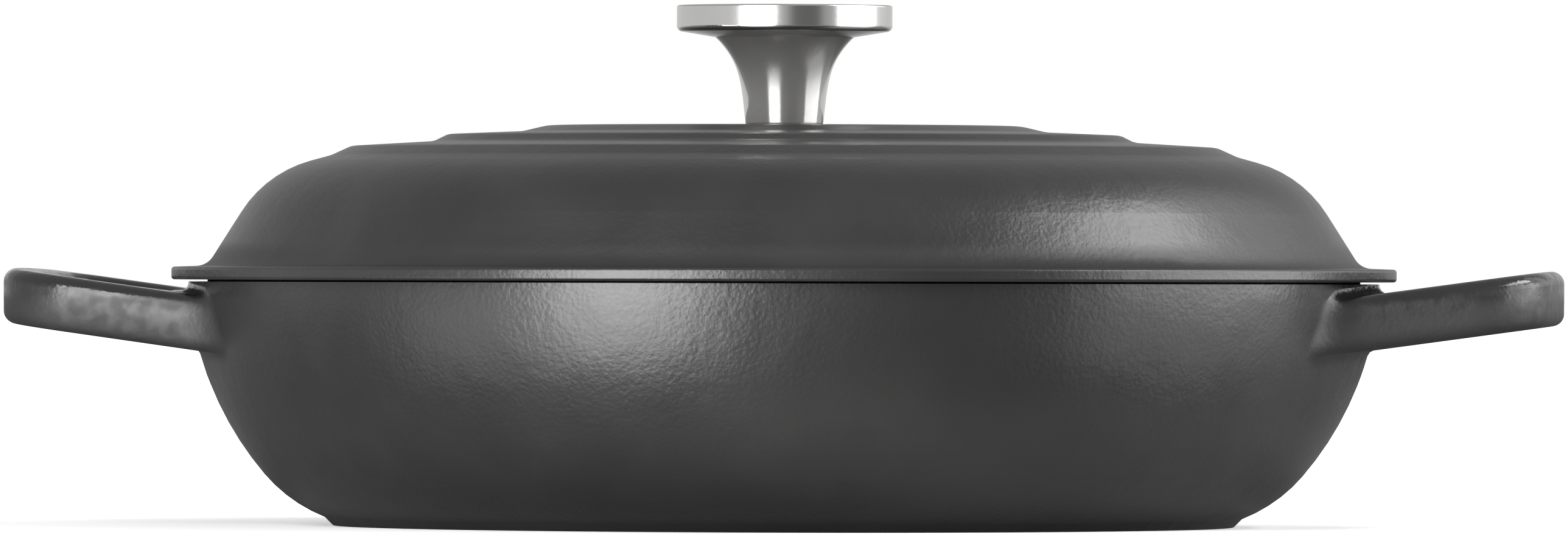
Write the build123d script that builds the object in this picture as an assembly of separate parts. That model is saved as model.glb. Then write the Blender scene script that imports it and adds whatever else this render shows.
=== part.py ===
from build123d import *
import os
from math import acos, asin, cos, pi, radians, sin

os.makedirs("parts", exist_ok=True)

# A low round braiser of enamelled cast iron. Sizes are in millimetres.
# The pot stands on the plane z = 0, its axis is Z and its two loop handles
# point along +X and -X. A profile point is written as (radius, height).

# Pot
RIM_R = 149.7               # outside of the wall at the rim
POT_HEIGHT = 61.15          # rim above the surface the pot stands on
WALL = 4.2                  # wall below the thickened rim
RIM_THICKENING = 2.4        # the wall grows inwards by this much towards the rim
RIM_ROUND = 0.7
FLOOR = 5.2                 # top of the cooking surface above z = 0
WALL_UPPER_ARC = 80.35      # radius of the upper bend of the outside
WALL_LEAN = 2.8             # degrees off upright at the rim
WALL_BREAK = 40.5           # degrees where the upper bend meets the lower one
BASE_SINK_SHARE = 0.0075    # the lower bend would end this share of the height under z = 0
FOOT_HEIGHT = 2.1
FOOT_RING_WIDTH = 12.0
FOOT_RECESS = 0.8           # underside inside the foot ring
FOOT_ROUND = 0.6

# Loop handles, cast in one with the pot
HANDLE_REACH = 46.4         # tip beyond the outside of the rim
HANDLE_ROOT_WIDTH = 104.0   # over both arms, where they meet the wall
HANDLE_TIP_WIDTH = 92.0     # over the corners before they are rounded
HANDLE_TIP_BOW = 190.0      # radius of the gently bowed tip
HANDLE_CORNER = 21.0
HANDLE_HEIGHT = 13.8
HANDLE_DROP = 2.55          # top of the handle under the rim, measured at the rim's radius
HANDLE_TILT = 7.8           # degrees the handle rises outwards
HANDLE_STRAP = 11.5         # width of the loop seen from above
HANDLE_FLARE = 18.0         # rounding between the arms and the wall, seen from above
FLARE_SPREAD_SHARE = 0.70   # how far the arms spread along the wall, as a share of that rounding
FLARE_SINK_SHARE = 0.10     # it runs into the wall this far under the handle, as a share of its height
HANDLE_WEB = 6.8            # metal between the wall and the finger hole
HANDLE_HOLE_CORNER = 9.0
HANDLE_EDGE_SHARE = 0.28    # rounding of the outer edges, as a share of the strap or its height
HOLE_EDGE_SHARE = 0.30      # rounding of the finger hole's edges, the same way
ROOT_FILLET_SHARE = 0.30    # fillet on the wall, as a share of the web

# Lid
LID_OVERHANG = 4.3          # flange beyond the rim
LID_RISE = 39.0             # underside of the flange to the top of the crown
LID_FLANGE = 3.2
LID_FLANGE_ROUND = 0.8
LID_WALL = 4.2
SEAT_STEP = 0.5             # the seat ring stands this far under the flange
SEAT_WIDTH = 1.8            # width of the ring that bears on the rim
SKIRT_CLEARANCE = 0.9       # locating skirt to the inside of the rim
SKIRT_DEPTH = 4.0
SKIRT_THICK = 2.8
SKIRT_ROUND_SHARE = 0.25    # of the skirt's thickness
# Outside of the lid from the crown outwards: share of the lid's radius,
# share of the rise, and rounding as a share of the rise
LID_OUTSIDE_SHARES = (
    (0.3864, 1.0000, 0.39),
    (0.4286, 0.9600, 0.21),
    (0.5494, 0.9406, 0.10),
    (0.5727, 0.8942, 0.10),
    (0.7065, 0.8632, 0.13),
    (0.7403, 0.8026, 0.20),
    (0.8458, 0.6890, 0.77),
    (0.9416, 0.0900, 0.13),
)
# Inside of the lid the same way, its heights taken before the wall comes off
LID_INSIDE_SHARES = (
    (0.3506, 1.0000, 0.50),
    (0.7273, 0.8130, 0.50),
    (0.8266, 0.7045, 0.62),
)
DRIP_ROWS = 4               # rows of small drip bosses under the lid
DRIP_FIRST_R = 28.5         # radius of the innermost row
DRIP_PITCH = 19.0           # between rows, and between the bosses of a row
DRIP_R = 2.4
DRIP_HEIGHT = 1.8

# Knob
KNOB_R = 27.1
CAP_SIDE = 6.4              # upright side of the disc, its roundings included
CAP_UNDER_RISE = 1.6        # rise of the disc's conical underside
CAP_UNDER_ROUND = 1.4
CAP_TOP_ROUND = 0.5
SPIGOT_R = 6.5
SPIGOT_LENGTH = 7.0
STEM_HEIGHT = 22.25
STEM_FOOT_R = 9.7
STEM_TOP_R = 17.5
STEM_FOOT_ROUND = 0.9
# Flare of the stem: share of the way from foot radius to top radius, share of its height
STEM_FLARE_SHARES = ((0.0, 0.0), (0.08, 0.25), (0.19, 0.50), (0.37, 0.70), (0.64, 0.86), (1.0, 1.0))
STEM_CORE_R = 3.6           # clearance hole between the two sockets
SOCKET_RELIEF = 0.5         # each socket is this much deeper than what it holds
FIT_CLEARANCE = 0.05        # between parts pushed or screwed into each other

# Knob fastening
SCREW_R = 2.5               # M5
SCREW_LENGTH = 16.0
SCREW_TIP = 0.6
SCREW_HEAD_R = 4.75
SCREW_HEAD_HEIGHT = 3.2
SCREW_SLOT_WIDTH = 1.2
SCREW_SLOT_DEPTH = 1.4
WASHER_R = 7.5
WASHER_THICK = 1.0
SPRING_WASHER_R = 4.4
SPRING_WASHER_THICK = 1.3
SPRING_WASHER_GAP = 0.9
SPRING_WASHER_SLANT = 30.0  # degrees between its split and the screw's axis
WASHER_CLEARANCE = 0.15
LID_HOLE_CLEARANCE = 0.3
INSERT_R = 5.5
INSERT_LENGTH = 12.0
INSERT_SETBACK = 0.5        # threaded insert above the foot of the stem
INSERT_CHAMFER = 0.6

OVERRUN = 5.0               # cutting bodies run past what they cut

# Places that several pieces share
RIM_IN_R = RIM_R - WALL - RIM_THICKENING
LID_R = RIM_R + LID_OVERHANG
FLANGE_Z = POT_HEIGHT + SEAT_STEP
CROWN_Z = FLANGE_Z + LID_RISE
LID_UNDER_Z = CROWN_Z - LID_WALL
STEM_TOP_Z = CROWN_Z + STEM_HEIGHT
SPRING_WASHER_TOP_Z = LID_UNDER_Z - WASHER_THICK
HEAD_TOP_Z = SPRING_WASHER_TOP_Z - SPRING_WASHER_THICK


def on_circle(centre, radius, angle):
    """Point on a circle of the (radius, height) plane, the angle counted downwards."""
    return (centre[0] + radius * cos(angle), centre[1] - radius * sin(angle))


def arc_between(centre, radius, start, end):
    """Arc about a centre from one downward angle to another."""
    middle = (start + end) / 2
    return ThreePointArc(
        on_circle(centre, radius, start),
        on_circle(centre, radius, middle),
        on_circle(centre, radius, end),
    )


def turned(profile):
    """Solid turned about Z from a closed (radius, height) face."""
    return revolve(Plane.YZ * profile, Axis.Z)


def wall_centres(inset, low_z):
    """Centres and radii of the two bends of the wall, moved inwards by inset and ending at low_z."""
    lean = radians(WALL_LEAN)
    turn = radians(WALL_BREAK)
    upper = (RIM_R - WALL_UPPER_ARC * cos(lean), POT_HEIGHT + WALL_UPPER_ARC * sin(lean))
    upper_r = WALL_UPPER_ARC - inset
    joint = on_circle(upper, upper_r, turn)
    lower_r = (joint[1] - low_z) / (1 - sin(turn))
    lower = (joint[0] - lower_r * cos(turn), joint[1] + lower_r * sin(turn))
    return upper, upper_r, lower, lower_r


def pot_outside():
    """The pot's outside with its foot ring, filled."""
    upper, upper_r, lower, lower_r = wall_centres(0, -BASE_SINK_SHARE * POT_HEIGHT)
    foot_angle = asin((lower[1] - FOOT_HEIGHT) / lower_r)
    foot_r = on_circle(lower, lower_r, foot_angle)[0] - FOOT_HEIGHT
    ring_r = foot_r - FOOT_RING_WIDTH
    bends = [
        arc_between(upper, upper_r, radians(WALL_LEAN), radians(WALL_BREAK)),
        arc_between(lower, lower_r, radians(WALL_BREAK), foot_angle),
    ]
    under = Polyline(
        bends[1] @ 1,
        (foot_r, 0),
        (ring_r, 0),
        (ring_r - FOOT_RECESS, FOOT_RECESS),
        (0, FOOT_RECESS),
        (0, POT_HEIGHT),
        (RIM_R, POT_HEIGHT),
    )
    body = turned(make_face(bends + [under]))
    ring_edges = body.edges().filter_by(GeomType.CIRCLE).filter_by_position(Axis.Z, 0, 0)
    return fillet(ring_edges, FOOT_ROUND)


def pot_hollow():
    """The space inside the pot, open above the rim."""
    upper, upper_r, lower, lower_r = wall_centres(WALL, FLOOR)
    top_angle = acos((RIM_IN_R - upper[0]) / upper_r)
    bends = [
        arc_between(upper, upper_r, top_angle, radians(WALL_BREAK)),
        arc_between(lower, lower_r, radians(WALL_BREAK), radians(90)),
    ]
    rest = Polyline(
        bends[1] @ 1,
        (0, FLOOR),
        (0, POT_HEIGHT + OVERRUN),
        (RIM_IN_R, POT_HEIGHT + OVERRUN),
        bends[0] @ 0,
    )
    return turned(make_face(bends + [rest]))


def handle_outline(inset):
    """Outline of a handle seen from above, drawn in by inset, running back under the wall."""
    tip_x = RIM_R + HANDLE_REACH - inset
    back_x = RIM_R - HANDLE_REACH
    root_half = HANDLE_ROOT_WIDTH / 2 - inset
    tip_half = HANDLE_TIP_WIDTH / 2 - inset
    slope = (root_half - tip_half) / HANDLE_REACH
    sides = make_face(Polyline(
        (back_x, -root_half - slope * HANDLE_REACH),
        (tip_x + OVERRUN, -tip_half + slope * OVERRUN),
        (tip_x + OVERRUN, tip_half - slope * OVERRUN),
        (back_x, root_half + slope * HANDLE_REACH),
        close=True,
    ))
    bow_r = HANDLE_TIP_BOW - inset
    return sides & Pos(tip_x - bow_r, 0) * Circle(bow_r)


def flared(outline):
    """A handle's outline with its arms spreading smoothly into the wall."""
    (centre_r, centre_z), bend_r, _, _ = wall_centres(0, 0)
    wall_z = POT_HEIGHT - HANDLE_DROP - (1 + FLARE_SINK_SHARE) * HANDLE_HEIGHT
    wall_r = centre_r + (bend_r**2 - (centre_z - wall_z)**2) ** 0.5
    span = 2 * HANDLE_REACH
    joined = outline + (Circle(wall_r) & Pos(RIM_R, 0) * Rectangle(span, 2 * RIM_R))
    roots = joined.vertices().filter_by_position(Axis.X, RIM_R - HANDLE_REACH / 2, RIM_R)
    spread = HANDLE_ROOT_WIDTH + 2 * FLARE_SPREAD_SHARE * HANDLE_FLARE
    return fillet(roots, HANDLE_FLARE) & Pos(RIM_R, 0) * Rectangle(span, spread)


def rim_edges(loop, inner=False):
    """Edges of the handle's top and bottom faces: the outer ones, or those round the finger hole."""
    levels = loop.faces().filter_by(GeomType.PLANE).sort_by(SortBy.AREA)[-2:]
    edges = ShapeList()
    for face in levels:
        wires = face.inner_wires() if inner else [face.outer_wire()]
        for wire in wires:
            edges += wire.edges()
    return edges.filter_by(lambda edge: edge.center().X > RIM_R - HANDLE_REACH / 2)


def handle():
    """The loop handle that points along +X."""
    outline = handle_outline(0)
    outline = flared(fillet(outline.vertices().sort_by(Axis.X)[-2:], HANDLE_CORNER))
    hole = handle_outline(HANDLE_STRAP) - Circle(RIM_R + HANDLE_WEB)
    hole = fillet(hole.vertices(), HANDLE_HOLE_CORNER)
    reach = HANDLE_HEIGHT + HANDLE_REACH
    middle_z = POT_HEIGHT - HANDLE_DROP - HANDLE_HEIGHT / 2
    block = Pos(0, 0, middle_z - reach) * extrude(outline, 2 * reach)
    bore = Pos(0, 0, middle_z - reach) * extrude(hole, 2 * reach)
    slab = Pos(RIM_R, 0, middle_z) * Rot(0, -HANDLE_TILT, 0) * Box(
        4 * HANDLE_REACH, 2 * HANDLE_ROOT_WIDTH, HANDLE_HEIGHT * cos(radians(HANDLE_TILT)))
    narrow = min(HANDLE_STRAP, HANDLE_HEIGHT)
    loop = fillet(rim_edges(block & slab), HANDLE_EDGE_SHARE * narrow)
    return fillet(rim_edges(loop - bore, inner=True), HOLE_EDGE_SHARE * narrow)


def on_wall(edge):
    """True where an edge runs along the upper bend of the wall and isn't a circle round the axis."""
    centre, bend_r, _, _ = wall_centres(0, 0)
    spots = [edge @ share for share in (0.1, 0.5, 0.9)]
    reaches = [((spot.X**2 + spot.Y**2) ** 0.5 - centre[0], spot.Z - centre[1]) for spot in spots]
    near = all(abs((out**2 + up**2) ** 0.5 - bend_r) < bend_r / 1000 for out, up in reaches)
    return near and edge.geom_type != GeomType.CIRCLE


def pot():
    """Pot body and both handles, one casting."""
    loop = handle()
    body = pot_outside() + loop + loop.rotate(Axis.Z, 180)
    root_fillet = min(ROOT_FILLET_SHARE * HANDLE_WEB, HANDLE_DROP)
    body = fillet(body.edges().filter_by(on_wall), root_fillet)
    body -= pot_hollow()
    rim = body.edges().filter_by(GeomType.CIRCLE).filter_by_position(Axis.Z, POT_HEIGHT, POT_HEIGHT)
    return fillet(rim, RIM_ROUND)


def lid_shell():
    """The lid's turned shell: stepped dome, flange, seat ring and locating skirt."""
    seat_r = RIM_IN_R + SEAT_WIDTH
    skirt_r = RIM_IN_R - SKIRT_CLEARANCE
    skirt_in_r = skirt_r - SKIRT_THICK
    skirt_z = POT_HEIGHT - SKIRT_DEPTH
    skirt_round = SKIRT_ROUND_SHARE * SKIRT_THICK
    outside = [(r * LID_R, FLANGE_Z + z * LID_RISE, bend * LID_RISE) for r, z, bend in LID_OUTSIDE_SHARES]
    inside = [(r * LID_R, FLANGE_Z + z * LID_RISE - LID_WALL, bend * LID_RISE)
              for r, z, bend in LID_INSIDE_SHARES]
    edge = [
        (LID_R, FLANGE_Z + LID_FLANGE, LID_FLANGE_ROUND),
        (LID_R, FLANGE_Z, LID_FLANGE_ROUND),
        (seat_r, FLANGE_Z, 0),
        (seat_r, POT_HEIGHT, 0),
        (skirt_r, POT_HEIGHT, 0),
        (skirt_r, skirt_z, skirt_round),
        (skirt_in_r, skirt_z, skirt_round),
        (skirt_in_r, outside[-1][1], LID_WALL),
    ]
    corners = outside + edge + inside[::-1]
    ends = [(0, CROWN_Z), (0, LID_UNDER_Z)]
    points = [ends[0]] + [corner[:2] for corner in corners] + [ends[1]]
    curve = FilletPolyline(*points, radius=[corner[2] for corner in corners])
    return turned(make_face(curve.edges() + [Line(*ends)]))


def lid_inside_z(radius):
    """Height of the lid's inside at a radius, between the corners of its outline."""
    corners = [(0, CROWN_Z)] + [(r * LID_R, FLANGE_Z + z * LID_RISE) for r, z, _ in LID_INSIDE_SHARES]
    for (r_in, z_in), (r_out, z_out) in zip(corners, corners[1:]):
        if radius <= r_out:
            return z_in + (z_out - z_in) * (radius - r_in) / (r_out - r_in) - LID_WALL
    return corners[-1][1] - LID_WALL


def lid():
    """Lid casting with rows of drip bosses under it and the hole for the knob's screw."""
    shell = lid_shell()
    bosses = []
    for row in range(DRIP_ROWS):
        row_r = DRIP_FIRST_R + row * DRIP_PITCH
        count = round(2 * pi * row_r / DRIP_PITCH)
        boss = Pos(row_r, 0, lid_inside_z(row_r)) * Cone(DRIP_R / 2, DRIP_R, 2 * DRIP_HEIGHT)
        bosses += [boss.rotate(Axis.Z, 360 * (step + row / 2) / count) for step in range(count)]
    bore = Pos(0, 0, CROWN_Z) * Cylinder(SCREW_R + LID_HOLE_CLEARANCE, 2 * LID_WALL + OVERRUN)
    return shell + bosses - bore


def knob_cap():
    """Disc of the knob with the spigot that goes down into the stem."""
    base_z = STEM_TOP_Z
    corner_z = base_z + CAP_UNDER_RISE
    top_z = corner_z + CAP_SIDE
    curve = FilletPolyline(
        (0, base_z - SPIGOT_LENGTH),
        (SPIGOT_R, base_z - SPIGOT_LENGTH),
        (SPIGOT_R, base_z),
        (STEM_TOP_R, base_z),
        (KNOB_R, corner_z),
        (KNOB_R, top_z),
        (0, top_z),
        radius=[0, 0, 0, CAP_UNDER_ROUND, CAP_TOP_ROUND],
    )
    return turned(make_face(curve.edges() + [Line(curve @ 1, curve @ 0)]))


def knob_stem():
    """Trumpet-shaped stem with a socket at each end."""
    flare = [(STEM_FOOT_R + out * (STEM_TOP_R - STEM_FOOT_R), CROWN_Z + up * STEM_HEIGHT)
             for out, up in STEM_FLARE_SHARES]
    side = Spline(*flare)
    rest = Polyline(flare[-1], (0, STEM_TOP_Z), (0, CROWN_Z), flare[0])
    body = turned(make_face([side, rest]))
    foot = body.edges().filter_by(GeomType.CIRCLE).filter_by_position(Axis.Z, CROWN_Z, CROWN_Z)
    body = fillet(foot, STEM_FOOT_ROUND)
    low_depth = INSERT_SETBACK + INSERT_LENGTH + SOCKET_RELIEF
    top_depth = SPIGOT_LENGTH + SOCKET_RELIEF
    body -= Pos(0, 0, CROWN_Z) * Cylinder(INSERT_R + FIT_CLEARANCE, 2 * low_depth)
    body -= Pos(0, 0, STEM_TOP_Z) * Cylinder(SPIGOT_R + FIT_CLEARANCE, 2 * top_depth)
    return body - Pos(0, 0, CROWN_Z) * Cylinder(STEM_CORE_R, 2 * STEM_HEIGHT)


def knob_insert():
    """Threaded bush pushed up into the foot of the stem."""
    middle_z = CROWN_Z + INSERT_SETBACK + INSERT_LENGTH / 2
    bush = chamfer(Cylinder(INSERT_R, INSERT_LENGTH).edges().filter_by(GeomType.CIRCLE), INSERT_CHAMFER)
    return Pos(0, 0, middle_z) * (bush - Cylinder(SCREW_R + FIT_CLEARANCE, INSERT_LENGTH + OVERRUN))


def knob_screw():
    """Slotted screw that comes up through the lid into the insert."""
    head_z = HEAD_TOP_Z - SCREW_HEAD_HEIGHT
    shank = Pos(0, 0, HEAD_TOP_Z + SCREW_LENGTH / 2) * Cylinder(SCREW_R, SCREW_LENGTH)
    shank = chamfer(shank.edges().filter_by(GeomType.CIRCLE).sort_by(Axis.Z)[-1], SCREW_TIP)
    head = Pos(0, 0, head_z + SCREW_HEAD_HEIGHT / 2) * Cylinder(SCREW_HEAD_R, SCREW_HEAD_HEIGHT)
    head = fillet(head.edges().filter_by(GeomType.CIRCLE).sort_by(Axis.Z)[0], SCREW_HEAD_HEIGHT / 3)
    slot = Pos(0, 0, head_z) * Box(2 * SCREW_HEAD_R + OVERRUN, SCREW_SLOT_WIDTH, 2 * SCREW_SLOT_DEPTH)
    return shank + head - slot


def ring(outer_r, thickness, top_z):
    """Flat ring round the screw, its top face at top_z."""
    hole = Cylinder(SCREW_R + WASHER_CLEARANCE, thickness + OVERRUN)
    return Pos(0, 0, top_z - thickness / 2) * (Cylinder(outer_r, thickness) - hole)


def flat_washer():
    """Washer that bears on the underside of the lid."""
    return ring(WASHER_R, WASHER_THICK, LID_UNDER_Z)


def spring_washer():
    """Split spring washer between the screw's head and the flat washer."""
    split = Pos(SPRING_WASHER_R, 0, SPRING_WASHER_TOP_Z) * Rot(SPRING_WASHER_SLANT, 0, 0) * Box(
        2 * (SPRING_WASHER_R - SCREW_R / 2), SPRING_WASHER_GAP, 6 * SPRING_WASHER_THICK)
    return ring(SPRING_WASHER_R, SPRING_WASHER_THICK, SPRING_WASHER_TOP_Z) - split


NODES = {
    "pot": pot,
    "lid": lid,
    "knob_cap": knob_cap,
    "knob_stem": knob_stem,
    "knob_insert": knob_insert,
    "knob_screw": knob_screw,
    "flat_washer": flat_washer,
    "spring_washer": spring_washer,
}

if __name__ == "__main__":
    for name, make in NODES.items():
        export_step(make(), f"parts/{name}.step")
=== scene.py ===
import math
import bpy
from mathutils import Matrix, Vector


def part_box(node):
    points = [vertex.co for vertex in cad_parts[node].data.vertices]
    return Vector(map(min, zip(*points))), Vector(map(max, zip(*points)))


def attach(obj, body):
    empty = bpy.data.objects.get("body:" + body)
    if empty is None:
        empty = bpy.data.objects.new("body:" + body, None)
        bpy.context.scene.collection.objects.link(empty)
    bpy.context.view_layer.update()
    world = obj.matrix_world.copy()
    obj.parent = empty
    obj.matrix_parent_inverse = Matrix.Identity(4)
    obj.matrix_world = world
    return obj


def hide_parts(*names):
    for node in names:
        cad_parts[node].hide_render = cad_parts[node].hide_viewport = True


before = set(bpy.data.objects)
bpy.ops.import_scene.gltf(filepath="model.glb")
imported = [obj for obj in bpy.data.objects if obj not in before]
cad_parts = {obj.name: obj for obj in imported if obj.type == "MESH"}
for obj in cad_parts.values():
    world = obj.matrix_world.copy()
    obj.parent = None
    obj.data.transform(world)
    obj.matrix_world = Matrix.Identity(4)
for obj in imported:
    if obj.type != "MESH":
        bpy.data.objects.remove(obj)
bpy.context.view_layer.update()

from types import SimpleNamespace

import bmesh
import bpy
from mathutils import Matrix, Vector

# A low round braiser of enamelled cast iron, with a steel knob on its lid.
# Lengths are in metres and turns in degrees, unless a name or a comment says otherwise.

MM = 0.001

# Camera
PHOTO_SPAN = 394.33 * MM            # width of the picture where the pot's axis stands
PHOTO_MIDDLE_Z = 64.9 * MM          # height that the middle of the picture shows there
CAMERA_DISTANCE = 4.6
CAMERA_TURN = 4.26                  # towards the handle on +X
CAMERA_ROLL = 0.15
CAMERA_REACH = 100.0                # past the floor's far corner
SENSOR_WIDTH = 36.0                 # millimetres, as Blender takes it

# Floor; pairs are radii between which something begins or ends
WHITE = (1, 1, 1)
FLOOR_SIZE = 60.0
FLOOR_WHITE = 0.8
FLOOR_GLOW = 0.45                   # lifts the floor near the pot towards white
SHADOW_REACH = (0.17, 0.42)         # the floor turns plain white over these
TABLE_WHITE = 0.42                  # table under the pot, as its enamel mirrors it
TABLE_EDGE = (0.165, 0.185)
UNDER_FOOT = (0.106, 0.110)         # light from below reaches the underside within these

# Room; the edges are cosines of turns, or sines of heights, between which a part begins
ROOM_BRIGHT = 0.67                  # behind the pot, as metal mirrors it
ROOM_PALE = 0.3                     # behind the pot, as it lights matt surfaces
ROOM_FADE = 0.85                    # how much of that side is gone high up
ROOM_FADE_EDGE = (0.08, 0.35)
ROOM_DIM = 0.4                      # behind the camera
ROOM_DIM_TURN = 20
ROOM_DIM_HEIGHT = 25
ROOM_EDGE = (-0.9, 0.1)
ROOM_UNDER = 0.22                   # below the table
ROOM_UNDER_EDGE = (-0.24, -0.07)
SCREEN_DARK = 0.14                  # dark screen to the right of the camera
SCREEN_TURN = 23
SCREEN_EDGE = (0.93, 0.98)
SOFTBOX_DISTANCE = 1.5


def both_ways(operation):
    """An operator of Wire and its reflected form, as a Math node of one operation."""
    return (lambda wire, other: wire.math(operation, wire, other),
            lambda wire, other: wire.math(operation, other, wire))


class Wire:
    """A shader socket that plain arithmetic works on."""

    def __init__(self, nodes, socket):
        self.nodes = nodes
        self.socket = socket

    def math(self, operation, *values):
        return self.nodes.add("ShaderNodeMath", {"operation": operation}, dict(enumerate(values)))

    __add__, __radd__ = both_ways("ADD")
    __sub__, __rsub__ = both_ways("SUBTRACT")
    __mul__, __rmul__ = both_ways("MULTIPLY")
    __truediv__, __rtruediv__ = both_ways("DIVIDE")
    __pow__, __rpow__ = both_ways("POWER")

    def most(self, other):
        return self.math("MAXIMUM", self, other)

    def size(self):
        return self.math("ABSOLUTE", self)

    def rise(self, start, end):
        """Goes smoothly from 0 at start to 1 at end."""
        return self.nodes.add("ShaderNodeMapRange", {"interpolation_type": "SMOOTHSTEP"},
                              {"Value": self, "From Min": start, "From Max": end})

    def fall(self, start, end):
        """Goes smoothly from 1 at start to 0 at end."""
        return 1 - self.rise(start, end)


class Nodes:
    """The node tree of one material or of the world."""

    MIX_SOCKETS = {"VECTOR": (4, 5, 1), "RGBA": (6, 7, 2)}   # low, high and result

    def __init__(self, tree):
        self.tree = tree
        tree.nodes.clear()

    def add(self, kind, settings=None, values=None, out=0):
        """Adds a node, sets its settings, then its sockets, and returns one of its outputs."""
        node = self.tree.nodes.new(kind)
        for name, value in (settings or {}).items():
            setattr(node, name, value)
        for name, value in (values or {}).items():
            self.feed(node.inputs[name], value)
        return Wire(self, node.outputs[out]) if len(node.outputs) else None

    def feed(self, socket, value):
        """Links a socket to a Wire, or sets its number, vector or colour."""
        if isinstance(value, Wire):
            self.tree.links.new(value.socket, socket)
        elif socket.type == "RGBA":
            socket.default_value = (*value, 1)
        else:
            socket.default_value = value

    def place(self):
        """Where a point of the piece lies, in metres, wherever the piece has been moved to."""
        return self.add("ShaderNodeTexCoord", out="Object")

    def facing(self):
        """The piece's own normal at a point, unmoved by bumps."""
        return self.add("ShaderNodeTexCoord", out="Normal")

    def rays(self, kind):
        """1 for rays of one kind and 0 for all others."""
        return self.add("ShaderNodeLightPath", out=kind)

    def parts(self, vector):
        """The three numbers of a vector."""
        split = self.add("ShaderNodeSeparateXYZ", values={0: vector})
        return [Wire(self, socket) for socket in split.socket.node.outputs]

    def scaled(self, vector, by):
        """A vector whose three numbers are each multiplied by their own number."""
        return self.add("ShaderNodeVectorMath", {"operation": "MULTIPLY"}, {0: vector, 1: by})

    def along(self, vector, axis):
        """How far a vector reaches along an axis."""
        return self.add("ShaderNodeVectorMath", {"operation": "DOT_PRODUCT"}, {0: vector, 1: axis},
                        out="Value")

    def mix(self, kind, factor, low, high):
        """Colour or vector that goes from low to high as factor goes from 0 to 1."""
        low_socket, high_socket, result = self.MIX_SOCKETS[kind]
        return self.add("ShaderNodeMix", {"data_type": kind},
                        {0: factor, low_socket: low, high_socket: high}, out=result)

    def mix_shaders(self, factor, low, high):
        """Shader that goes from low to high as factor goes from 0 to 1."""
        return self.add("ShaderNodeMixShader", values={0: factor, 1: low, 2: high})

    def noise(self, vector, cell, detail, rough=0.5):
        """Soft noise from 0 to 1 whose lumps are about cell metres across."""
        return self.add("ShaderNodeTexNoise", {"noise_dimensions": "3D"}, {
            "Vector": vector, "Scale": 1 / cell, "Detail": detail, "Roughness": rough})

    def rounded(self, radius, samples, where):
        """Normal that is smoothed over the piece's corners where a mask is 1."""
        own = self.add("ShaderNodeNewGeometry", out="Normal")
        soft = self.add("ShaderNodeBevel", {"samples": samples}, {"Radius": radius})
        return self.mix("VECTOR", where, own, soft)

    def bump(self, height, depth, under=None):
        """Normal of a surface whose height, from 0 to 1, stands depth metres out."""
        values = {"Height": height, "Distance": depth, "Strength": 1.0}
        if under:
            values["Normal"] = under
        return self.add("ShaderNodeBump", values=values)


def grey(level):
    return (level, level, level)


def new_material(name):
    material = bpy.data.materials.new(name)
    material.use_nodes = True
    return material, Nodes(material.node_tree)


def finish_shader(nodes, **values):
    """Ends a material with one principled shader; names use _ for a space."""
    shader = nodes.add("ShaderNodeBsdfPrincipled", values={
        name.replace("_", " "): value for name, value in values.items()})
    nodes.add("ShaderNodeOutputMaterial", values={"Surface": shader})


def dress(node, material):
    """Gives a CAD node a finish of its own."""
    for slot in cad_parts[node].material_slots:
        slot.material = material


def put_in_scene(name, data):
    thing = bpy.data.objects.new(name, data)
    bpy.context.scene.collection.objects.link(thing)
    return thing


# Charcoal enamel of the outside
CHARCOAL = (0.014, 0.014, 0.014)
CHARCOAL_THIN = (0.021, 0.0207, 0.0204)
CHARCOAL_ROUGH = 0.28
TONE_CELL = 45 * MM                 # clouds where the coat is thinner
TONE_EDGE = (0.35, 0.75)
TONE_ROUGH = 0.06
CASTING_CELL = 9 * MM               # slow waves of the iron under the coat
CASTING_DEPTH = 0.18 * MM
PEEL_CELL = 1.1 * MM                # orange peel
PEEL_DEPTH = 0.078 * MM
PEEL_ROUGH = 0.04

# Where it pools in the corners, it rounds them and dries duller
POOL_BLEND = 4.5 * MM
POOL_SAMPLES = 6
POOL_ROUGH = 0.13
ROOT_START = (114 * MM, 124 * MM)   # at the roots of the handles, from the pot's middle
ROOT_TOP = (56 * MM, 58.5 * MM)     # but not at the rim
FOOT_START = (138.5 * MM, 140.5 * MM)       # at the foot of the lid's wall, from the axis
FOOT_END = (147 * MM, 150 * MM)
FOOT_TOP = (68.3 * MM, 71.8 * MM)

# On the handles it is duller in patches and low down, and glossier along the top edge
HANDLE_START = (136 * MM, 150 * MM)
HANDLE_RISE = 0.137                 # how steeply the handles rise outwards
HANDLE_ROUGH = 0.11
HANDLE_LUMP = 3.8 * MM
HANDLE_PATCH_EDGE = (0.34, 0.66)
HANDLE_PATCH = 0.12
HANDLE_MIDDLE = (46.5 * MM, 51.5 * MM)
HANDLE_LOW = 0.16
HANDLE_TOP = (53.0 * MM, 55.0 * MM)
HANDLE_GLOSS = 0.22
HANDLE_GRAIN = 2.0 * MM
HANDLE_GRAIN_DEPTH = 0.06 * MM

# Sand enamel of the inside
SAND = (0.62, 0.55, 0.45)
SAND_FLECK = (0.50, 0.43, 0.34)
SAND_ROUGH = 0.16
FLECK_CELL = 1.1 * MM
FLECK_EDGE = (0.60, 0.72)
FLECK_SHARE = 0.6
CLOUD_CELL = 30 * MM
CLOUD_ROUGH = 0.10

# Bare iron where the lid sits on the rim
BARE = (0.035, 0.034, 0.033)
BARE_ROUGH = 0.55

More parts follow.
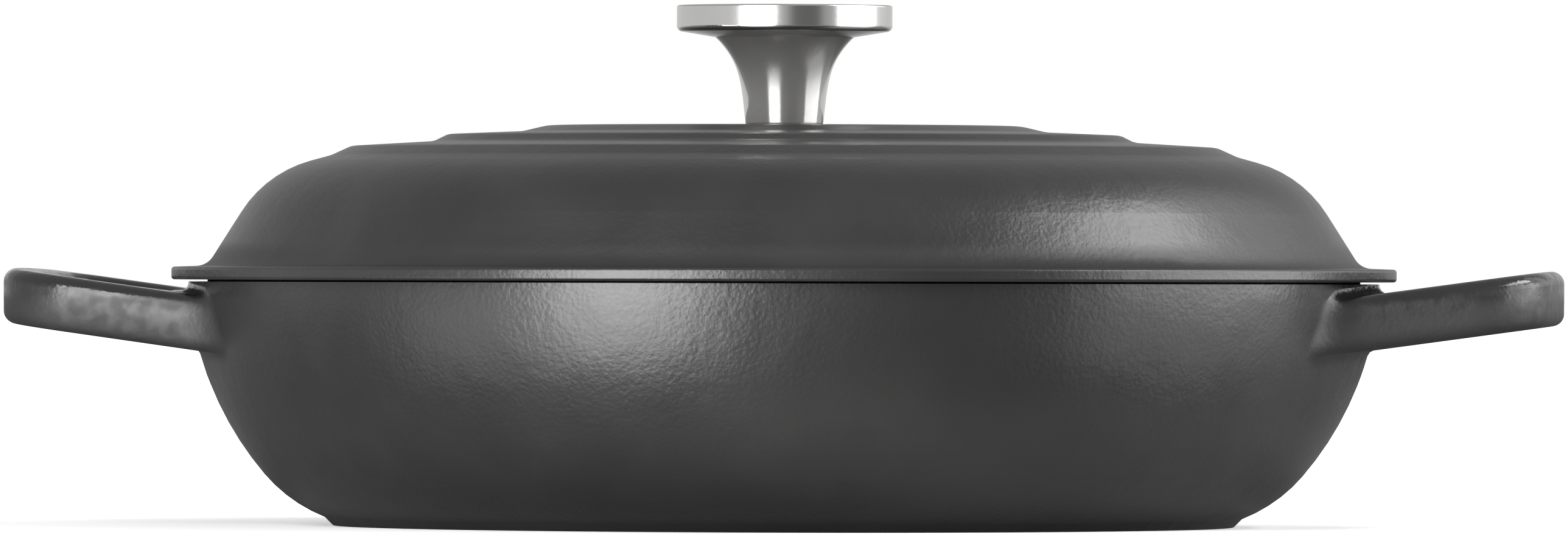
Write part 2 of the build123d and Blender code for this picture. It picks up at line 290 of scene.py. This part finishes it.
# Where each coat of the castings lies: radii from the axis and heights
TURN_UP = 2                         # a face's turn up or down counts more than its turn outwards
TURN_EDGE = (-0.15, 0.05)           # where a face stops being inside
POT_INSIDE_R = (147.2 * MM, 147.6 * MM)
POT_BARE_R = (149.0 * MM, 149.5 * MM)
POT_BARE_Z = (60.1 * MM, 60.6 * MM)
LID_INSIDE_R = (139.4 * MM, 139.9 * MM)
LID_BARE_R = (138.8 * MM, 139.6 * MM)
LID_BARE_Z = (61.2 * MM, 61.5 * MM)
UNDER_CROWN_R = (94 * MM, 96 * MM)          # past the drip bosses
UNDER_CROWN_Z = (100.3 * MM, 100.9 * MM)    # between the crown's two faces, at the axis
UNDER_CROWN_FALL = 0.0683                   # how steeply the crown falls outwards


def spot(nodes, place):
    """Where a point of a casting lies, and how far the surface there faces outwards and up."""
    x, y, z = nodes.parts(place)
    facing_x, facing_y, facing_z = nodes.parts(nodes.facing())
    radius = (x * x + y * y) ** 0.5
    return SimpleNamespace(side=x.size(), z=z, radius=radius, up=facing_z,
                           out=(x * facing_x + y * facing_y) / radius)


def handle_roots(at):
    """1 where the pot's handles meet its wall, 0 at the rim and on the rest of the pot."""
    return at.side.rise(*ROOT_START) * at.z.fall(*ROOT_TOP)


def lid_foot(at):
    """1 where the lid's wall meets the top of its flange."""
    return at.radius.rise(*FOOT_START) * at.radius.fall(*FOOT_END) * at.z.fall(*FOOT_TOP)


def pot_inside(at):
    """1 on faces within the rim that look up or towards the axis."""
    return (at.out - TURN_UP * at.up).fall(*TURN_EDGE) * at.radius.fall(*POT_INSIDE_R)


def pot_bare(at):
    """1 on top of the rim."""
    return at.z.rise(*POT_BARE_Z) * at.radius.fall(*POT_BARE_R)


def lid_inside(at):
    """1 on faces within the seat that look down or towards the axis, and all over the bosses."""
    level = at.z + UNDER_CROWN_FALL * at.radius
    bosses = level.fall(*UNDER_CROWN_Z) * at.radius.fall(*UNDER_CROWN_R)
    faces = (at.out + TURN_UP * at.up).fall(*TURN_EDGE) * at.radius.fall(*LID_INSIDE_R)
    return faces.most(bosses)


def lid_bare(at):
    """1 on the seat under the flange."""
    return at.z.fall(*LID_BARE_Z) * at.radius.rise(*LID_BARE_R)


def handle_coat(nodes, place, at, rough, normal):
    """Changes the outside's roughness and normal on the handles."""
    handle = at.side.rise(*HANDLE_START)
    level = at.z - HANDLE_RISE * (at.side - HANDLE_START[0])
    patch = nodes.noise(place, HANDLE_LUMP, detail=1.5).rise(*HANDLE_PATCH_EDGE)
    change = (HANDLE_ROUGH - POOL_ROUGH + HANDLE_PATCH * patch
              + HANDLE_LOW * level.fall(*HANDLE_MIDDLE) - HANDLE_GLOSS * level.rise(*HANDLE_TOP))
    grain = nodes.noise(place, HANDLE_GRAIN, detail=1.0)
    return rough + handle * change, nodes.bump(handle * grain, HANDLE_GRAIN_DEPTH, normal)


def outside_coat(nodes, place, at, pool, handles):
    """Satin charcoal enamel over cast iron: colour, roughness and normal."""
    peel = nodes.noise(place, PEEL_CELL, detail=1.5)
    casting = nodes.noise(place, CASTING_CELL, detail=2.0)
    tone = nodes.noise(place, TONE_CELL, detail=3.0)
    colour = nodes.mix("RGBA", tone.rise(*TONE_EDGE), CHARCOAL, CHARCOAL_THIN)
    rough = CHARCOAL_ROUGH + TONE_ROUGH * tone + PEEL_ROUGH * peel + POOL_ROUGH * pool
    normal = nodes.bump(casting, CASTING_DEPTH, nodes.rounded(POOL_BLEND, POOL_SAMPLES, pool))
    if handles:
        rough, normal = handle_coat(nodes, place, at, rough, normal)
    return colour, rough, nodes.bump(peel, PEEL_DEPTH, normal)


def inside_coat(nodes, place):
    """Glossy sand enamel: colour and roughness."""
    fleck = nodes.noise(place, FLECK_CELL, detail=1.0)
    cloud = nodes.noise(place, CLOUD_CELL, detail=2.0)
    colour = nodes.mix("RGBA", FLECK_SHARE * fleck.rise(*FLECK_EDGE), SAND, SAND_FLECK)
    return colour, SAND_ROUGH + CLOUD_ROUGH * cloud


def enamel(name, inside_mask, bare_mask, pool_mask, handles=False):
    """Material of a casting: charcoal outside, sand inside, bare where it seats."""
    material, nodes = new_material(name)
    place = nodes.place()
    at = spot(nodes, place)
    inside = inside_mask(at)
    bare = bare_mask(at)
    out_colour, out_rough, normal = outside_coat(nodes, place, at, pool_mask(at), handles)
    in_colour, in_rough = inside_coat(nodes, place)
    colour = nodes.mix("RGBA", inside, out_colour, in_colour)
    colour = nodes.mix("RGBA", bare, colour, BARE)
    rough = out_rough * (1 - inside) + in_rough * inside
    rough = rough * (1 - bare) + BARE_ROUGH * bare
    finish_shader(nodes, Base_Color=colour, Roughness=rough, Normal=normal)
    return material


# Steel and brass of the knob and its fastening
STEEL = (0.70, 0.695, 0.68)
BRASS = (0.70, 0.52, 0.24)
DISC_ROUGH = 0.13
LINE_CELL = 0.09 * MM               # turning lines of the disc
LINE_DEPTH = 0.004 * MM
LINE_ROUGH = 0.08
STEM_METAL = 0.9
STEM_ROUGH = 0.04
HAZE_CELL = 6 * MM                  # haze left by polishing, longer upwards
HAZE_STRETCH = (1, 1, 0.35)
HAZE_ROUGH = 0.05
INSERT_ROUGH = 0.25
FASTENER_ROUGH = 0.28
GRAIN_CELL = 0.8 * MM               # grain of small turned parts, shorter upwards
GRAIN_STRETCH = (1, 1, 4)
GRAIN_DEPTH = 0.01 * MM
GRAIN_ROUGH = 0.12


def turned_steel():
    """Steel disc with fine turning lines round its axis."""
    material, nodes = new_material("turned steel of the knob's disc")
    x, y, z = nodes.parts(nodes.place())
    radius = (x * x + y * y) ** 0.5
    section = nodes.add("ShaderNodeCombineXYZ", values={0: radius, 1: z})
    lines = nodes.noise(section, LINE_CELL, detail=3.0, rough=0.7)
    finish_shader(nodes, Base_Color=STEEL, Metallic=1.0, Roughness=DISC_ROUGH + LINE_ROUGH * lines,
                  Normal=nodes.bump(lines, LINE_DEPTH))
    return material


def polished_steel():
    """Bright stem with faint haze."""
    material, nodes = new_material("polished steel of the knob's stem")
    haze = nodes.noise(nodes.scaled(nodes.place(), HAZE_STRETCH), HAZE_CELL, detail=3.0)
    finish_shader(nodes, Base_Color=STEEL, Metallic=STEM_METAL,
                  Roughness=STEM_ROUGH + HAZE_ROUGH * haze)
    return material


def plain_metal(name, colour, rough):
    """Turned metal of small parts."""
    material, nodes = new_material(name)
    grain = nodes.noise(nodes.scaled(nodes.place(), GRAIN_STRETCH), GRAIN_CELL, detail=3.0)
    finish_shader(nodes, Base_Color=colour, Metallic=1.0, Roughness=rough + GRAIN_ROUGH * grain,
                  Normal=nodes.bump(grain, GRAIN_DEPTH))
    return material


# Screw of the knob
SCREW_R = 2.5 * MM
SCREW_PITCH = 0.8 * MM
SCREW_TIP = 0.6 * MM
THREAD_DEPTH = 0.43 * MM
THREAD_ROWS = 8                     # rows of points to one turn of the thread
HEAD_R = 4.75 * MM
HEAD_HEIGHT = 3.2 * MM
HEAD_ROUND = 1.05 * MM
HEAD_STEPS = 5                      # rows of points over the head's rounding
SLOT_WIDTH = 1.2 * MM
SLOT_DEPTH = 1.4 * MM
ROUND_STEPS = 40                    # points round the screw
FULL_TURN = 2 * math.pi
LAST_POINT = FULL_TURN * (1 - 1 / ROUND_STEPS)
SMOOTH_ANGLE = 35


def ring(mesh, z, radius, start=0.0, end=LAST_POINT):
    """Points on a circle round the axis at a height; radius is a function of the angle."""
    angles = [start + (end - start) * step / (ROUND_STEPS - 1) for step in range(ROUND_STEPS)]
    return [mesh.verts.new((radius(angle) * math.cos(angle), radius(angle) * math.sin(angle), z))
            for angle in angles]


def close_up(mesh, rings):
    """Skin over rings of points, with a face across each end."""
    for low, high in zip(rings, rings[1:]):
        for i in range(ROUND_STEPS):
            mesh.faces.new((low[i - 1], low[i], high[i], high[i - 1]))
    mesh.faces.new(rings[0][::-1])
    mesh.faces.new(rings[-1])


def threaded_shank(mesh, low, high):
    """Threaded shank from the head up to its chamfered tip."""
    rows = round(THREAD_ROWS * (high - low) / SCREW_PITCH)
    rings = []
    for row in range(rows + 1):
        z = low + (high - low) * row / rows
        most = SCREW_R - max(0, SCREW_TIP - (high - z))

        def radius(angle):
            turn = (z / SCREW_PITCH - angle / FULL_TURN) % 1
            return min(most, SCREW_R - THREAD_DEPTH * (1 - abs(2 * turn - 1)))
        rings.append(ring(mesh, z, radius))
    close_up(mesh, rings)


def head_radius(z, low):
    """Radius of the head at a height, with its lower edge rounded."""
    over = max(0, HEAD_ROUND - (z - low))
    return HEAD_R - HEAD_ROUND + (HEAD_ROUND**2 - over**2) ** 0.5


def slotted_head(mesh, low, high):
    """Round head whose slot opens downwards, between two half rounds."""
    slot_z = low + SLOT_DEPTH
    close_up(mesh, [ring(mesh, z, lambda angle: HEAD_R) for z in (slot_z, high)])
    for side in (0, math.pi):
        rings = []
        for step in range(HEAD_STEPS + 1):
            z = low + HEAD_ROUND * step / HEAD_STEPS
            reach = head_radius(z, low)
            edge = math.asin(SLOT_WIDTH / 2 / reach)
            rings.append(ring(mesh, z, lambda angle: reach, side + edge, side + math.pi - edge))
        rings.append(ring(mesh, slot_z, lambda angle: HEAD_R, side + edge, side + math.pi - edge))
        close_up(mesh, rings)


def knob_screw(material):
    """The knob's slotted screw with a real thread, in the place of its plain CAD solid."""
    low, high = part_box("knob_screw")
    shape = bmesh.new()
    slotted_head(shape, low.z, low.z + HEAD_HEIGHT)
    threaded_shank(shape, low.z + HEAD_HEIGHT, high.z)
    bmesh.ops.recalc_face_normals(shape, faces=shape.faces)
    mesh = bpy.data.meshes.new("threaded knob screw")
    shape.to_mesh(mesh)
    shape.free()
    mesh.shade_smooth()
    mesh.set_sharp_from_angle(angle=math.radians(SMOOTH_ANGLE))
    mesh.materials.append(material)
    piece = put_in_scene("threaded_knob_screw", mesh)
    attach(piece, "screw")
    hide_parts("knob_screw")


def direction(turn, height):
    """Unit vector to a place round the pot: turn to the right of the camera, height upwards."""
    turn = math.radians(turn + CAMERA_TURN)
    height = math.radians(height)
    level = math.cos(height)
    return Vector((math.sin(turn) * level, -math.cos(turn) * level, math.sin(height)))


def build_camera():
    """Level camera with the photograph's place, lens and slight roll."""
    camera = bpy.data.cameras.new("camera")
    camera.sensor_width = SENSOR_WIDTH
    camera.lens = SENSOR_WIDTH * CAMERA_DISTANCE / PHOTO_SPAN
    camera.clip_end = CAMERA_REACH
    holder = put_in_scene("camera", camera)
    holder.location = direction(0, 0) * CAMERA_DISTANCE + Vector((0, 0, PHOTO_MIDDLE_Z))
    turns = ((CAMERA_TURN, "Z"), (90, "X"), (CAMERA_ROLL, "Z"))
    turned, upright, rolled = (Matrix.Rotation(math.radians(turn), 3, axis) for turn, axis in turns)
    holder.rotation_euler = (turned @ upright @ rolled).to_euler()
    bpy.context.scene.camera = holder


def floor_material():
    """White to the camera, with the pot's shadow; to other rays a table that ends near the pot."""
    material, nodes = new_material("white floor")
    x, y, z = nodes.parts(nodes.place())
    radius = (x * x + y * y) ** 0.5
    clear = nodes.add("ShaderNodeBsdfTransparent", values={"Color": WHITE})
    table = nodes.add("ShaderNodeBsdfDiffuse", values={"Color": grey(TABLE_WHITE)})
    table = nodes.mix_shaders(radius.rise(*TABLE_EDGE) + radius.fall(*UNDER_FOOT), table, clear)
    matt = nodes.add("ShaderNodeBsdfDiffuse", values={"Color": grey(FLOOR_WHITE)})
    near, far = (nodes.add("ShaderNodeEmission", values={"Color": WHITE, "Strength": strength})
                 for strength in (FLOOR_GLOW, 1.0))
    glow = nodes.mix_shaders(radius.rise(*SHADOW_REACH), near, far)
    floor = nodes.add("ShaderNodeAddShader", values={0: matt, 1: glow})
    from_below = nodes.add("ShaderNodeNewGeometry", out="Backfacing")
    floor = nodes.mix_shaders(from_below, floor, clear)
    shown = nodes.mix_shaders(nodes.rays("Is Camera Ray"), table, floor)
    nodes.add("ShaderNodeOutputMaterial", values={"Surface": shown})
    return material


def build_floor():
    half = FLOOR_SIZE / 2
    mesh = bpy.data.meshes.new("floor")
    corners = [(-half, -half, 0), (half, -half, 0), (half, half, 0), (-half, half, 0)]
    mesh.from_pydata(corners, [], [(0, 1, 2, 3)])
    mesh.materials.append(floor_material())
    put_in_scene("floor", mesh)


def build_room():
    """Room that is white to the camera and bright behind the pot, and dim elsewhere."""
    world = bpy.data.worlds.new("white room")
    bpy.context.scene.world = world
    world.use_nodes = True
    nodes = Nodes(world.node_tree)
    place = nodes.add("ShaderNodeTexCoord", out="Generated")
    up = nodes.parts(place)[2]
    white, pale, bright, dim, dark, under = (
        nodes.add("ShaderNodeBackground", values={"Color": WHITE, "Strength": strength})
        for strength in (1.0, ROOM_PALE, ROOM_BRIGHT, ROOM_DIM, SCREEN_DARK, ROOM_UNDER))
    mirrored = nodes.rays("Is Glossy Ray").most(nodes.rays("Is Transmission Ray"))
    back = nodes.mix_shaders(mirrored, pale, bright)
    screen = nodes.along(place, direction(SCREEN_TURN, 0)).rise(*SCREEN_EDGE)
    front = nodes.mix_shaders(screen, dim, dark)
    away = nodes.along(place, -direction(ROOM_DIM_TURN, ROOM_DIM_HEIGHT))
    behind = away.rise(*ROOM_EDGE) * (1 - ROOM_FADE * up.rise(*ROOM_FADE_EDGE))
    room = nodes.mix_shaders(behind, front, back)
    room = nodes.mix_shaders(up.fall(*ROOM_UNDER_EDGE), room, under)
    shown = nodes.mix_shaders(nodes.rays("Is Camera Ray"), room, white)
    nodes.add("ShaderNodeOutputWorld", values={"Surface": shown})


def softbox(name, turn, low, high, width, brightness):
    """Upright lamp that faces the pot, from low to high above the floor; brightness 1 is white."""
    tall = high - low
    light = bpy.data.lights.new(name, "AREA")
    light.shape = "RECTANGLE"
    light.size = width
    light.size_y = tall
    light.energy = brightness * math.pi * width * tall
    out = direction(turn, 0)
    holder = put_in_scene(name, light)
    holder.location = out * SOFTBOX_DISTANCE + Vector((0, 0, (low + high) / 2))
    holder.rotation_euler = (-out).to_track_quat("-Z", "Y").to_euler()
    holder.visible_camera = False


build_camera()
build_floor()
build_room()
softbox("left softbox under", turn=-31, low=-0.80, high=-0.22, width=0.80, brightness=9.5)
softbox("left softbox middle", turn=-29, low=-0.22, high=0.30, width=0.80, brightness=14)
softbox("left softbox high", turn=-28, low=0.30, high=1.15, width=0.85, brightness=9)
softbox("left side softbox", turn=-65, low=-0.80, high=-0.10, width=0.60, brightness=2.0)
softbox("right softbox under", turn=80, low=-0.75, high=-0.10, width=1.2, brightness=1.4)
softbox("right softbox middle", turn=86, low=-0.10, high=0.75, width=1.4, brightness=5.4)
softbox("right softbox high", turn=87, low=1.05, high=1.85, width=1.35, brightness=9)
softbox("right softbox far", turn=124, low=0.20, high=1.75, width=0.8, brightness=0.9)

dress("pot", enamel("charcoal enamel of the pot", pot_inside, pot_bare, handle_roots, handles=True))
dress("lid", enamel("charcoal enamel of the lid", lid_inside, lid_bare, lid_foot))
dress("knob_cap", turned_steel())
dress("knob_stem", polished_steel())
dress("knob_insert", plain_metal("brass of the insert", BRASS, INSERT_ROUGH))
fastener = plain_metal("stainless steel of the fastening", STEEL, FASTENER_ROUGH)
dress("flat_washer", fastener)
dress("spring_washer", fastener)
knob_screw(fastener)

bpy.context.scene.view_settings.view_transform = "Standard"
